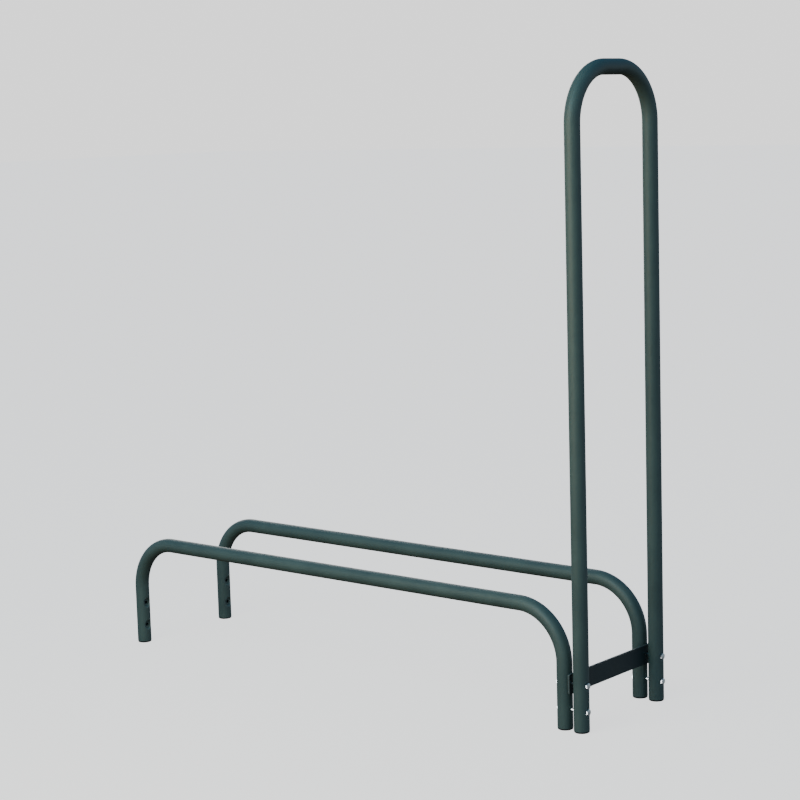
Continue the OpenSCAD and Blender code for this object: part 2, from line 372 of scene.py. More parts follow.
# %% Zinc and plastic
ZINC_COLOUR, ZINC_CLOUD = (0.84, 0.87, 0.90), (0.66, 0.68, 0.70)
ZINC_ROUGHNESS = (0.34, 0.24)
CLOUDS_PER_METRE = 260
PITS_PER_METRE, PITS_STRENGTH, PITS_DEPTH = 1800, 0.2, 0.08 * MM
PLASTIC_COLOUR, PLASTIC_WORN = (0.010, 0.010, 0.011), (0.03, 0.03, 0.032)
PLASTIC_ROUGHNESS = (0.48, 0.62)
WEAR_PER_METRE = 180
GRAIN_PER_METRE, GRAIN_STRENGTH, GRAIN_DEPTH = 1900, 0.3, 0.1 * MM


def zinc_material():
    material, tree, shader, place = new_material("bright_zinc")
    cloud = noise(tree, place, CLOUDS_PER_METRE, detail=4)
    tree.links.new(blend_colour(tree, spread(tree, cloud, 0.4, 0.6), ZINC_CLOUD, ZINC_COLOUR),
                   shader.inputs["Base Color"])
    shader.inputs["Metallic"].default_value = 1
    tree.links.new(spread(tree, cloud, 0.3, 0.7, *ZINC_ROUGHNESS), shader.inputs["Roughness"])
    pits = noise(tree, place, PITS_PER_METRE, detail=2)
    bump = connect(tree, "ShaderNodeBump", {
        "Height": pits, "Strength": PITS_STRENGTH, "Distance": PITS_DEPTH})
    tree.links.new(bump.outputs[0], shader.inputs["Normal"])
    return material


def plastic_material():
    material, tree, shader, place = new_material("moulded_plastic")
    wear = noise(tree, place, WEAR_PER_METRE, detail=3)
    tree.links.new(blend_colour(tree, spread(tree, wear, 0.55, 0.75), PLASTIC_COLOUR, PLASTIC_WORN),
                   shader.inputs["Base Color"])
    tree.links.new(spread(tree, wear, 0.3, 0.7, *PLASTIC_ROUGHNESS), shader.inputs["Roughness"])
    grain = connect(tree, "ShaderNodeTexVoronoi", {
        "Vector": place, "Scale": GRAIN_PER_METRE}).outputs["Distance"]
    bump = connect(tree, "ShaderNodeBump", {
        "Height": grain, "Strength": GRAIN_STRENGTH, "Distance": GRAIN_DEPTH})
    tree.links.new(bump.outputs[0], shader.inputs["Normal"])
    return material


zinc_plate = zinc_material()
plug_plastic = plastic_material()
print("metal and plastic:", zinc_plate.name, plug_plastic.name)

# %% [markdown]
# ## A small kit for Geometry Nodes
# A Geometry Nodes tree is drawn once and used on several objects, each with its own numbers. Three
# helpers keep the cells short: one starts a tree with named inputs, one does arithmetic on fields, and
# one runs a finished tree on an object and keeps the result as a plain mesh.

# %% Geometry Nodes helpers
def new_tree(name, sizes):
    """A tree with a geometry input and output, and one named input for each (name, kind) in sizes."""
    tree = bpy.data.node_groups.new(name, "GeometryNodeTree")
    tree.interface.new_socket("Geometry", in_out="INPUT", socket_type="NodeSocketGeometry")
    for title, kind in sizes:
        tree.interface.new_socket(title, in_out="INPUT", socket_type="NodeSocket" + kind)
    tree.interface.new_socket("Geometry", in_out="OUTPUT", socket_type="NodeSocketGeometry")
    return tree, tree.nodes.new("NodeGroupInput").outputs


def calc(tree, operation, *values):
    """One Math node. Numbers and fields both work as values."""
    return connect(tree, "ShaderNodeMath", dict(enumerate(values)), operation=operation).outputs[0]


def vector_calc(tree, operation, *values):
    """One Vector Math node. A dot product or a length comes out of its second output."""
    node = connect(tree, "ShaderNodeVectorMath", dict(enumerate(values)), operation=operation)
    return node.outputs["Value" if operation in ("DOT_PRODUCT", "LENGTH") else "Vector"]


def finish_tree(tree, geometry, material):
    """Every tree ends the same way: instances made real, material set."""
    real = connect(tree, "GeometryNodeRealizeInstances", {"Geometry": geometry}).outputs[0]
    painted = connect(tree, "GeometryNodeSetMaterial", {"Geometry": real, "Material": material}).outputs[0]
    connect(tree, "NodeGroupOutput", {0: painted})


def add_tree(source, tree, **sizes):
    """Puts the tree on an object as a modifier and sets its inputs by their identifiers."""
    modifier = source.modifiers.new(tree.name, "NODES")
    modifier.node_group = tree
    for item in tree.interface.items_tree:
        if item.item_type == "SOCKET" and item.in_out == "INPUT" and item.name != "Geometry":
            modifier[item.identifier] = sizes[item.name.replace(" ", "_").lower()]


def keep_mesh(source, name):
    """Evaluates the object's modifiers and keeps the result as a plain mesh object."""
    bpy.context.view_layer.update()
    ready = source.evaluated_get(bpy.context.evaluated_depsgraph_get())
    mesh = bpy.data.meshes.new_from_object(ready)
    mesh.name = name
    piece = bpy.data.objects.new(name, mesh)
    bpy.context.scene.collection.objects.link(piece)
    bpy.data.objects.remove(source)
    return piece


def new_source(name, vertices=((0, 0, 0),), edges=()):
    """An object that only holds what a tree starts from."""
    mesh = bpy.data.meshes.new(name)
    mesh.from_pydata(vertices, edges, [])
    source = bpy.data.objects.new(name, mesh)
    bpy.context.scene.collection.objects.link(source)
    return source


def smooth(piece, angle=35):
    """Shades the piece smooth, with sharp edges where it turns by more than the angle."""
    piece.data.shade_smooth()
    piece.data.set_sharp_from_angle(angle=radians(angle))


def report(piece):
    """Prints the piece's triangles and whether its mesh is closed and turned outwards."""
    work = bmesh.new()
    work.from_mesh(piece.data)
    open_edges = sum(not edge.is_manifold for edge in work.edges)
    volume = work.calc_volume(signed=True) / MM ** 3
    triangles = sum(len(face.verts) - 2 for face in work.faces)
    work.free()
    print(f"{piece.name}: {triangles} triangles, {open_edges} open edges, {volume:.0f} mm3")


print("Geometry Nodes helpers are ready")

# %% [markdown]
# ## Bent tube
# A tube bender starts from a straight length and turns it round a die, so a tube is a centreline plus a
# circle. Here the centreline is a few corners joined by straight lines, Fillet Curve rounds the corners
# to the radius of the die, and Curve to Mesh sweeps the circle along it.
#
# Two marks of the workshop are then pressed into the sheet, both as fields that move points:
# * the inside of a bend comes out a little flat, most of all halfway round;
# * round the bolts a punch has pressed seats with a flat floor and a flared side, so that heads and nuts
#   sit below the skin. A smooth minimum of tube and punch gives the rolled lip that real steel has.
#
# Boolean cuts would leave knife edges there. Moving the points keeps the sheet whole, and a Solidify
# modifier then gives it the wall of the tube.

# %% The tree that bends and presses a tube
RINGS_ON_SEATS = 116
SEAT_ZONE = 122 * MM
FLATTENING = 1.0 * MM
# The flattening fades slowly along the bend and quickly round the tube
FADE_ALONG, FADE_ROUND = 0.6, 3.0
LIP_ROUND = 2.0 * MM
FLOOR_ROUND = 1.4 * MM


def tube_tree():
    tree, size = new_tree("bent tube", [
        ("Tube radius", "Float"), ("Bend radius", "Float"), ("Rings per bend", "Int"), ("Sides", "Int"),
        ("Flattening", "Float"), ("Bend axis", "Vector"), ("Pressed from the side", "Bool"),
        ("Lower seat height", "Float"), ("Seat pitch", "Float"), ("Seat depth", "Float"),
        ("Seat floor radius", "Float"), ("Seat zone", "Float"), ("Material", "Material")])
    # Centreline: corners, then fillets, then closer rings where the seats are
    line = connect(tree, "GeometryNodeMeshToCurve", {"Mesh": size["Geometry"]}).outputs[0]
    turns = connect(tree, "GeometryNodeInputNamedAttribute", {"Name": "turns"}, data_type="INT").outputs[0]
    bent = connect(tree, "GeometryNodeFilletCurve", {
        "Curve": line, "Count": calc(tree, "MULTIPLY", turns, size["Rings per bend"]),
        "Radius": calc(tree, "MULTIPLY", turns, size["Bend radius"])}, mode="POLY").outputs[0]
    rings = connect(tree, "GeometryNodeInputNamedAttribute", {"Name": "rings"}, data_type="INT").outputs[0]
    ringed = connect(tree, "GeometryNodeSubdivideCurve", {"Curve": bent, "Cuts": rings}).outputs[0]
    # Each point of the tube remembers the centreline that it was swept from
    centre = connect(tree, "GeometryNodeCaptureAttribute", {"Geometry": ringed})
    centre.capture_items.new("VECTOR", "Centre")
    centre.capture_items.new("VECTOR", "Along")
    tree.links.new(connect(tree, "GeometryNodeInputPosition").outputs[0], centre.inputs["Centre"])
    tree.links.new(connect(tree, "GeometryNodeInputTangent").outputs[0], centre.inputs["Along"])
    circle = connect(tree, "GeometryNodeCurvePrimitiveCircle", {
        "Resolution": size["Sides"], "Radius": size["Tube radius"]}).outputs[0]
    swept = connect(tree, "GeometryNodeCurveToMesh", {
        "Curve": centre.outputs["Geometry"], "Profile Curve": circle}).outputs[0]
    place = connect(tree, "GeometryNodeInputPosition").outputs[0]
    out = vector_calc(tree, "SUBTRACT", place, centre.outputs["Centre"])
    inward = vector_calc(tree, "CROSS_PRODUCT", size["Bend axis"], centre.outputs["Along"])
    # Inside of the bends: the point moves out by a share that is greatest halfway round the bend
    steep = connect(tree, "ShaderNodeSeparateXYZ", {0: centre.outputs["Along"]}).outputs["Z"]
    level_squared = calc(tree, "SUBTRACT", 1.0, calc(tree, "MULTIPLY", steep, steep))
    level = calc(tree, "SQRT", calc(tree, "MAXIMUM", level_squared, 0.0))
    halfway = calc(tree, "MULTIPLY", calc(tree, "MULTIPLY", calc(tree, "ABSOLUTE", steep), level), 2.0)
    inside = calc(tree, "DIVIDE", vector_calc(tree, "DOT_PRODUCT", out, inward), size["Tube radius"])
    along_share = calc(tree, "POWER", halfway, FADE_ALONG)
    round_share = calc(tree, "POWER", calc(tree, "MAXIMUM", inside, 0.0), FADE_ROUND)
    share = calc(tree, "MULTIPLY", along_share, round_share)
    shift = vector_calc(tree, "SCALE", inward)
    pushed_out = calc(tree, "MULTIPLY", calc(tree, "MULTIPLY", share, size["Flattening"]), -1.0)
    tree.links.new(pushed_out, shift.node.inputs["Scale"])
    flat = connect(tree, "GeometryNodeSetPosition", {"Geometry": swept, "Offset": shift}).outputs[0]
    # Seats: u runs towards the punch, and w and z run across its face
    side_way = vector_calc(tree, "SCALE", size["Bend axis"])
    side_way.node.inputs["Scale"].default_value = -1
    way = connect(tree, "GeometryNodeSwitch", {
        "Switch": size["Pressed from the side"], "False": inward, "True": side_way},
        input_type="VECTOR").outputs[0]
    u = vector_calc(tree, "DOT_PRODUCT", out, way)
    w = vector_calc(tree, "DOT_PRODUCT", out, vector_calc(tree, "CROSS_PRODUCT", way, (0, 0, 1)))
    z = connect(tree, "ShaderNodeSeparateXYZ", {0: place}).outputs["Z"]
    half_pitch = calc(tree, "DIVIDE", size["Seat pitch"], 2.0)
    between_seats = calc(tree, "ADD", size["Lower seat height"], half_pitch)
    from_middle = calc(tree, "ABSOLUTE", calc(tree, "SUBTRACT", z, between_seats))
    rise = calc(tree, "SUBTRACT", from_middle, half_pitch)
    radius_squared = calc(tree, "ADD", calc(tree, "MULTIPLY", w, w), calc(tree, "MULTIPLY", rise, rise))
    radius = calc(tree, "SQRT", radius_squared)
    past_rim = calc(tree, "SUBTRACT", radius, size["Seat floor radius"])
    past_floor = calc(tree, "SMOOTH_MAX", past_rim, 0.0, FLOOR_ROUND)
    floor = calc(tree, "SUBTRACT", size["Tube radius"], size["Seat depth"])
    punch = calc(tree, "ADD", floor, calc(tree, "DIVIDE", past_floor, tan(SEAT_FLARE)))
    pressed = calc(tree, "SMOOTH_MIN", u, punch, LIP_ROUND)
    press = vector_calc(tree, "SCALE", way)
    tree.links.new(calc(tree, "SUBTRACT", pressed, u), press.node.inputs["Scale"])
    low = calc(tree, "LESS_THAN", z, size["Seat zone"])
    from_lip = calc(tree, "DIVIDE", calc(tree, "ABSOLUTE", calc(tree, "SUBTRACT", u, punch)), LIP_ROUND)
    near_lip = calc(tree, "SUBTRACT", 1.0, calc(tree, "MINIMUM", 1.0, from_lip))
    lip = calc(tree, "MULTIPLY", low, near_lip)
    rubbed = connect(tree, "GeometryNodeStoreNamedAttribute", {
        "Geometry": flat, "Name": "wear_and_edge_highlight", "Value": lip}).outputs[0]
    seated = connect(tree, "GeometryNodeSetPosition", {
        "Geometry": rubbed, "Selection": low, "Offset": press}).outputs[0]
    finish_tree(tree, seated, size["Material"])
    return tree


bent_tube = tube_tree()
print("bent tube tree:", len(bent_tube.nodes), "nodes")

# %% [markdown]
# ## Rails and upright
# The two rails are the same part and the upright is its tall, narrow brother, so one function makes all
# three from the corners of their centrelines. The bolt holes are drilled last, through both walls, as on
# the bench: a Boolean modifier with one rod for each hole.

# %% Make the three tubes
TUBE_SIDES = 120
RINGS_PER_BEND = 36
RINGS_ABOVE_SEATS = 4
DRILL_SIDES = 48
DRILL_PAST = 2 * MM
TUBE_CREASE = 60


def drill(places, direction, radius, reach):
    """One object with a rod through each place, to cut holes with."""
    work = bmesh.new()
    turn = direction.to_track_quat("Z", "Y").to_matrix().to_4x4()
    for place in places:
        bmesh.ops.create_cone(work, cap_ends=True, segments=DRILL_SIDES, radius1=radius,
                              radius2=radius, depth=2 * reach, matrix=Matrix.Translation(place) @ turn)
    mesh = bpy.data.meshes.new("drill")
    work.to_mesh(mesh)
    work.free()
    cutter = bpy.data.objects.new("drill", mesh)
    bpy.context.scene.collection.objects.link(cutter)
    return cutter


def make_tube(name, first, last, top, bend_axis, seat_depth, from_side, hole_radii):
    """first and last are the feet of the two legs, and top is the height of the crossing run."""
    up = Vector((0, 0, 1))
    corners = [first, first + up * (SEAT_ZONE - first.z), first + up * (top - first.z),
               last + up * (top - last.z), last + up * (SEAT_ZONE - last.z), last]
    source = new_source(name + "_centreline", corners, [(i, i + 1) for i in range(5)])
    rings = source.data.attributes.new("rings", "INT", "POINT")
    rings.data.foreach_set("value", [RINGS_ON_SEATS, RINGS_ABOVE_SEATS, 0, 0, RINGS_ON_SEATS, 0])
    turns = source.data.attributes.new("turns", "INT", "POINT")
    turns.data.foreach_set("value", [0, 0, 1, 1, 0, 0])
    add_tree(source, bent_tube, tube_radius=tube_radius, bend_radius=BEND_RADIUS,
             rings_per_bend=RINGS_PER_BEND, sides=TUBE_SIDES, flattening=FLATTENING, bend_axis=bend_axis,
             pressed_from_the_side=from_side, lower_seat_height=bolt_heights[0],
             seat_pitch=bolt_heights[1] - bolt_heights[0], seat_depth=seat_depth,
             seat_floor_radius=SEAT_FLOOR_RADIUS, seat_zone=SEAT_ZONE, material=tube_coat)
    wall = source.modifiers.new("wall", "SOLIDIFY")
    wall.thickness = TUBE_WALL
    wall.offset = -1
    wall.use_even_offset = True
    cutters = []
    for foot, radius in ((first, hole_radii[0]), (last, hole_radii[1])):
        cutter = drill([Vector((foot.x, foot.y, z)) for z in bolt_heights], Vector((1, 0, 0)), radius,
                       tube_radius + DRILL_PAST)
        cut = source.modifiers.new("holes", "BOOLEAN")
        cut.operation = "DIFFERENCE"
        cut.solver = "MANIFOLD"
        cut.object = cutter
        cutters.append(cutter)
    piece = keep_mesh(source, name)
    for cutter in cutters:
        bpy.data.objects.remove(cutter)
    smooth(piece, TUBE_CREASE)
    report(piece)
    return piece


rails = []
for name, y in (("rail_tube_front", -side_y), ("rail_tube_rear", side_y)):
    left_foot, right_foot = Vector((left_x, y, leg_foot)), Vector((right_x, y, leg_foot))
    rails.append(make_tube(name, left_foot, right_foot, rail_top, (0, 1, 0),
                           nut_seat_depth, False, (MODULE_HOLE_RADIUS, OWN_HOLE_RADIUS)))
near_foot, far_foot = Vector((upright_x, -side_y, leg_foot)), Vector((upright_x, side_y, leg_foot))
upright = make_tube("upright_tube", near_foot, far_foot, upright_top, (-1, 0, 0),
                    head_seat_depth, True, (OWN_HOLE_RADIUS, OWN_HOLE_RADIUS))

# %% [markdown]
# ## Joining a piece to the frame
# Each finished piece rides on the one body of the rack and stands for its CAD node, whose own mesh is
# hidden. One call does both.

# %% Hand the tubes to the frame
def hand_over(piece, node):
    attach(piece, "root")
    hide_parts(node)


for piece, node in zip([*rails, upright], ["front_rail", "rear_rail", "upright_frame"]):
    hand_over(piece, node)
print("tubes handed to the frame:", [piece.name for piece in (*rails, upright)])

# %% [markdown]
# ## Cross strap
# The strap is cut from flat bar on a punch press: round corners, two holes, and every edge softened by
# the tumbling that comes before the coat. The tree fills its outline as a flat face with holes, extrudes
# it to the thickness of the bar and stands it up. A Bevel modifier softens the edges afterwards.

# %% Make the strap
STRAP_CORNER = 2.5 * MM
STRAP_EDGE = 0.5 * MM
# How far the strap's edges are lightened towards the primer colour: a painted highlight
STRAP_EDGE_HIGHLIGHT = 0.85
CORNER_POINTS, HOLE_POINTS = 8, 48
STRAP_WELD = 0.01 * MM
FLAT_CREASE = 12


def strap_tree():
    tree, size = new_tree("punched strap", [
        ("Length", "Float"), ("Height", "Float"), ("Thickness", "Float"), ("Corner", "Float"),
        ("Hole radius", "Float"), ("Hole spacing", "Float"), ("Place", "Vector"), ("Material", "Material")])
    outline = connect(tree, "GeometryNodeCurvePrimitiveQuadrilateral", {
        "Width": size["Length"], "Height": size["Height"]}).outputs[0]
    outline = connect(tree, "GeometryNodeFilletCurve", {
        "Curve": outline, "Count": CORNER_POINTS, "Radius": size["Corner"]}, mode="POLY").outputs[0]
    circle = connect(tree, "GeometryNodeCurvePrimitiveCircle", {
        "Resolution": HOLE_POINTS, "Radius": size["Hole radius"]}).outputs[0]
    rims = connect(tree, "GeometryNodeJoinGeometry")
    tree.links.new(outline, rims.inputs[0])
    for side in (-0.5, 0.5):
        from_middle = calc(tree, "MULTIPLY", size["Hole spacing"], side)
        along = connect(tree, "ShaderNodeCombineXYZ", {"X": from_middle}).outputs[0]
        moved = connect(tree, "GeometryNodeTransform", {
            "Geometry": circle, "Translation": along}).outputs[0]
        tree.links.new(moved, rims.inputs[0])
    face = connect(tree, "GeometryNodeFillCurve", {"Curve": rims.outputs[0]}).outputs[0]
    raised = connect(tree, "GeometryNodeExtrudeMesh", {
        "Mesh": face, "Offset Scale": size["Thickness"], "Individual": False}).outputs
    # The sheared edges are painted lighter than the faces: a painted highlight where they catch the light
    sheared = connect(tree, "GeometryNodeStoreNamedAttribute", {
        "Geometry": raised["Mesh"], "Selection": raised["Side"], "Name": "wear_and_edge_highlight", "Value": STRAP_EDGE_HIGHLIGHT},
        domain="FACE").outputs[0]
    back = connect(tree, "GeometryNodeFlipFaces", {"Mesh": face}).outputs[0]
    both = connect(tree, "GeometryNodeJoinGeometry")
    tree.links.new(sheared, both.inputs[0])
    tree.links.new(back, both.inputs[0])
    closed = connect(tree, "GeometryNodeMergeByDistance", {
        "Geometry": both.outputs[0], "Distance": STRAP_WELD}).outputs[0]
    upright_strap = connect(tree, "GeometryNodeTransform", {
        "Geometry": closed, "Translation": size["Place"], "Rotation": (pi / 2, 0, pi / 2)}).outputs[0]
    finish_tree(tree, upright_strap, size["Material"])
    return tree


def make_strap():
    low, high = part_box("cross_strap")
    source = new_source("strap_source")
    add_tree(source, strap_tree(), length=high.y - low.y, height=high.z - low.z, thickness=high.x - low.x,
             corner=STRAP_CORNER, hole_radius=OWN_HOLE_RADIUS, hole_spacing=2 * side_y,
             place=(low.x, (low.y + high.y) / 2, (low.z + high.z) / 2), material=strap_coat)
    edge = source.modifiers.new("edge", "BEVEL")
    edge.width = STRAP_EDGE
    edge.segments = 3
    edge.limit_method = "ANGLE"
    piece = keep_mesh(source, "strap_bar")
    smooth(piece, FLAT_CREASE)
    report(piece)
    return piece


hand_over(make_strap(), "cross_strap")

# %% [markdown]
# ## Hexagon bolts and nuts
# A cold-forged bolt head is a hexagon whose corners have been turned off by a cone, so each flat ends in
# an arc. That is the intersection of two simple solids, and a Boolean node inside the tree finds the arcs
# by itself. A nut has the cone on both faces and a countersunk bore.
#
# The thread is rolled. A flat grid is wrapped round the bolt's axis, and its radius swings in and out
# once for every pitch along the axis, a little later at each turn: that is a helix, and the grid closes
# on itself exactly. Only the last stretch is threaded, so the shank that shows between the legs is plain.

# %% The trees for a hexagon and a threaded rod
HEX_FACE_SHARE = 0.95
CHAMFER_SLOPE = radians(30)
THREAD_PITCH = 1.27 * MM
THREAD_DEPTH = 0.62 * MM
THREAD_LENGTH = 19 * MM
TIP_CHAMFER = 0.75 * MM
EDGE_ROUND = 0.18 * MM
CONE_SIDES = 96
# The part of the rod's rings that covers the plain shank
SHANK_SHARE = 0.05
# Reaches from the middle ring to all but the first and the last
ALL_BUT_ENDS = 0.4999
ROD_WELD = 0.002 * MM


def hexagon_tree():
    tree, size = new_tree("chamfered hexagon", [
        ("Across flats", "Float"), ("Height", "Float"), ("Chamfer both faces", "Bool"),
        ("Material", "Material")])
    corner = calc(tree, "DIVIDE", size["Across flats"], sqrt(3))
    blank = connect(tree, "GeometryNodeMeshCylinder", {
        "Vertices": 6, "Radius": corner, "Depth": size["Height"]}).outputs["Mesh"]
    flat = calc(tree, "MULTIPLY", size["Across flats"], HEX_FACE_SHARE / 2)
    wide = calc(tree, "ADD", flat, calc(tree, "DIVIDE", size["Height"], tan(CHAMFER_SLOPE)))
    cone = connect(tree, "GeometryNodeMeshCone", {
        "Vertices": CONE_SIDES, "Radius Top": flat, "Radius Bottom": wide,
        "Depth": size["Height"]}).outputs["Mesh"]
    half = calc(tree, "MULTIPLY", size["Height"], -0.5)
    down_half = connect(tree, "ShaderNodeCombineXYZ", {"Z": half}).outputs[0]
    centred = connect(tree, "GeometryNodeTransform", {
        "Geometry": cone, "Translation": down_half}).outputs[0]
    flipped = connect(tree, "GeometryNodeTransform", {
        "Geometry": centred, "Rotation": (pi, 0, 0)}).outputs[0]
    one = connect(tree, "GeometryNodeMeshBoolean", {}, operation="INTERSECT", solver="EXACT")
    tree.links.new(blank, one.inputs["Mesh 2"])
    tree.links.new(centred, one.inputs["Mesh 2"])
    two = connect(tree, "GeometryNodeMeshBoolean", {}, operation="INTERSECT", solver="EXACT")
    tree.links.new(one.outputs["Mesh"], two.inputs["Mesh 2"])
    tree.links.new(flipped, two.inputs["Mesh 2"])
    chosen = connect(tree, "GeometryNodeSwitch", {
        "Switch": size["Chamfer both faces"], "False": one.outputs["Mesh"], "True": two.outputs["Mesh"]},
        input_type="GEOMETRY").outputs[0]
    finish_tree(tree, chosen, size["Material"])
    return tree


def rod_tree():
    tree, size = new_tree("threaded rod", [
        ("Radius", "Float"), ("Length", "Float"), ("Thread length", "Float"), ("Pitch", "Float"),
        ("Thread depth", "Float"), ("Tip chamfer", "Float"), ("Rings", "Int"), ("Sides", "Int"),
        ("Material", "Material")])
    grid = connect(tree, "GeometryNodeMeshGrid", {
        "Size X": 1.0, "Size Y": 1.0,
        "Vertices X": size["Rings"], "Vertices Y": size["Sides"]}).outputs["Mesh"]
    place = connect(tree, "GeometryNodeInputPosition").outputs[0]
    flat = connect(tree, "ShaderNodeSeparateXYZ", {0: place})
    down = calc(tree, "ADD", flat.outputs["X"], 0.5)
    plain = calc(tree, "SUBTRACT", size["Length"], size["Thread length"])
    # A few rings cover the plain shank, the rest cover the thread
    on_shank = spread(tree, down, 0.0, SHANK_SHARE, 0.0, plain)
    on_thread = spread(tree, down, SHANK_SHARE, 1.0, 0.0, size["Thread length"])
    along = calc(tree, "ADD", on_shank, on_thread)
    turns = calc(tree, "ADD", calc(tree, "DIVIDE", along, size["Pitch"]), flat.outputs["Y"])
    groove = calc(tree, "MULTIPLY", calc(tree, "PINGPONG", turns, 0.5), 2.0)
    run_out = spread(tree, calc(tree, "SUBTRACT", along, plain), 0.0, THREAD_PITCH)
    cut = calc(tree, "MULTIPLY", calc(tree, "MULTIPLY", groove, size["Thread depth"]), run_out)
    from_tip = calc(tree, "SUBTRACT", size["Length"], along)
    chamfer = calc(tree, "SUBTRACT", size["Radius"], calc(
        tree, "MAXIMUM", calc(tree, "SUBTRACT", size["Tip chamfer"], from_tip), 0.0))
    radius = calc(tree, "MINIMUM", calc(tree, "SUBTRACT", size["Radius"], cut), chamfer)
    # The first and last rings shrink to a point and close the ends
    open_part = calc(tree, "COMPARE", down, 0.5, ALL_BUT_ENDS)
    radius = calc(tree, "MULTIPLY", radius, open_part)
    angle = calc(tree, "MULTIPLY", flat.outputs["Y"], 2 * pi)
    wrapped = connect(tree, "ShaderNodeCombineXYZ", {
        "X": calc(tree, "MULTIPLY", radius, calc(tree, "COSINE", angle)),
        "Y": calc(tree, "MULTIPLY", radius, calc(tree, "SINE", angle)),
        "Z": calc(tree, "MULTIPLY", along, -1.0)}).outputs[0]
    rod = connect(tree, "GeometryNodeSetPosition", {"Geometry": grid, "Position": wrapped}).outputs[0]
    closed = connect(tree, "GeometryNodeMergeByDistance", {
        "Geometry": rod, "Distance": ROD_WELD}).outputs[0]
    finish_tree(tree, closed, size["Material"])
    return tree


hexagon, threaded_rod = hexagon_tree(), rod_tree()
print("hexagon tree:", len(hexagon.nodes), "nodes, rod tree:", len(threaded_rod.nodes), "nodes")

# %% [markdown]
# ## Turning and cutting
# Washer faces, bores and plugs are round, so each is half a section turned about its axis, as on a
# lathe. Boolean modifiers add such pieces together or cut one with another. They leave slivers on flat
# faces, and joining those back keeps a flat looking flat.

# %% Helpers for turned pieces
SLIVER = 0.004 * MM
FLAT_WITHIN = radians(0.6)


def lathe(name, profile, segments=72):
    """Turns a closed (radius, height) profile round the Z axis. It starts and ends on the axis."""
    work = bmesh.new()
    angles = [2 * pi * i / segments for i in range(segments)]
    rings = []
    for radius, height in profile:
        count = 1 if radius == 0 else segments
        rings.append([work.verts.new((radius * cos(a), radius * sin(a), height)) for a in angles[:count]])
    for lower, upper in zip(rings, rings[1:]):
        for i in range(segments):
            corners = [lower[i % len(lower)], lower[(i + 1) % len(lower)],
                       upper[(i + 1) % len(upper)], upper[i % len(upper)]]
            work.faces.new(dict.fromkeys(corners))
    bmesh.ops.recalc_face_normals(work, faces=work.faces)
    mesh = bpy.data.meshes.new(name)
    work.to_mesh(mesh)
    work.free()
    piece = bpy.data.objects.new(name, mesh)
    bpy.context.scene.collection.objects.link(piece)
    return piece


def arc(centre_r, centre_z, radius, start, stop, steps=8):
    """Points of a quarter turn or so, as (radius, height), from one angle in degrees to another."""
    angles = [radians(start + (stop - start) * i / steps) for i in range(steps + 1)]
    return [(centre_r + radius * cos(a), centre_z + radius * sin(a)) for a in angles]


def combine(source, other, operation):
    """A Boolean modifier with another object. The caller removes that object afterwards."""
    step = source.modifiers.new(operation.lower(), "BOOLEAN")
    step.operation = operation
    step.solver = "MANIFOLD"
    step.object = other


def soften(source, width, angle=25):
    edge = source.modifiers.new("edge", "BEVEL")
    edge.width = width
    edge.segments = 2
    edge.limit_method = "ANGLE"
    edge.angle_limit = radians(angle)


def join_flat_faces(piece):
    """Joins the slivers that a Boolean leaves on flat faces, so that they shade as one face."""
    work = bmesh.new()
    work.from_mesh(piece.data)
    bmesh.ops.dissolve_degenerate(work, dist=SLIVER, edges=work.edges)
    bmesh.ops.dissolve_limit(work, angle_limit=FLAT_WITHIN, verts=work.verts, edges=work.edges)
    work.to_mesh(piece.data)
    work.free()


def lay_along_x(piece, place):
    """Turns a piece from the Z axis to the X axis and puts it in its place, in its mesh."""
    piece.data.transform(Matrix.Translation(place) @ Matrix.Rotation(pi / 2, 4, "Y"))


print(f"slivers under {SLIVER / MM:.3f} mm are joined")

# %% [markdown]
# ## Bolts and nuts
# A bolt is a head, a washer face and a rod joined into one closed mesh, as it is forged from one wire. A
# nut is a hexagon with a countersunk bore cut out of it. Each is made upright on the Z axis, where
# the tools are simple, and then laid along X in its place.

# %% Make the bolts and nuts
ROD_RINGS, ROD_SIDES = 132, 37
ROD_SINK = 1 * MM
BORE_PLAY, COUNTERSINK, TOOL_PAST = 0.05 * MM, 0.6 * MM, 0.2 * MM


def make_hexagon(name, height, both_faces):
    source = new_source(name + "_source")
    add_tree(source, hexagon, across_flats=HEX_ACROSS_FLATS, height=height, chamfer_both_faces=both_faces,
             material=zinc_plate)
    soften(source, EDGE_ROUND)
    return keep_mesh(source, name)


def make_bolt(name, node):
    low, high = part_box(node)
    body = HEAD_HEIGHT - WASHER_FACE
    head = make_hexagon(name + "_head", body, False)
    head.data.transform(Matrix.Translation((0, 0, WASHER_FACE + body / 2)))
    face_radius = HEX_ACROSS_FLATS / 2 * HEX_FACE_SHARE
    washer = lathe(name + "_washer", [(0, 0), (face_radius - EDGE_ROUND, 0), (face_radius, EDGE_ROUND),
                                      (face_radius, 2 * WASHER_FACE), (0, 2 * WASHER_FACE)])
    source = new_source(name + "_source")
    add_tree(source, threaded_rod, radius=BOLT_DIAMETER / 2,
             length=high.x - HEAD_HEIGHT - low.x + ROD_SINK, thread_length=THREAD_LENGTH,
             pitch=THREAD_PITCH, thread_depth=THREAD_DEPTH, tip_chamfer=TIP_CHAMFER,
             rings=ROD_RINGS, sides=ROD_SIDES, material=zinc_plate)
    rod = keep_mesh(source, name + "_rod")
    rod.data.transform(Matrix.Translation((0, 0, ROD_SINK)))
    combine(head, washer, "UNION")
    combine(head, rod, "UNION")
    piece = keep_mesh(head, name)
    for part in (washer, rod):
        bpy.data.objects.remove(part)
    join_flat_faces(piece)
    lay_along_x(piece, Vector((high.x - HEAD_HEIGHT, (low.y + high.y) / 2, (low.z + high.z) / 2)))
    smooth(piece, FLAT_CREASE)
    report(piece)
    return piece


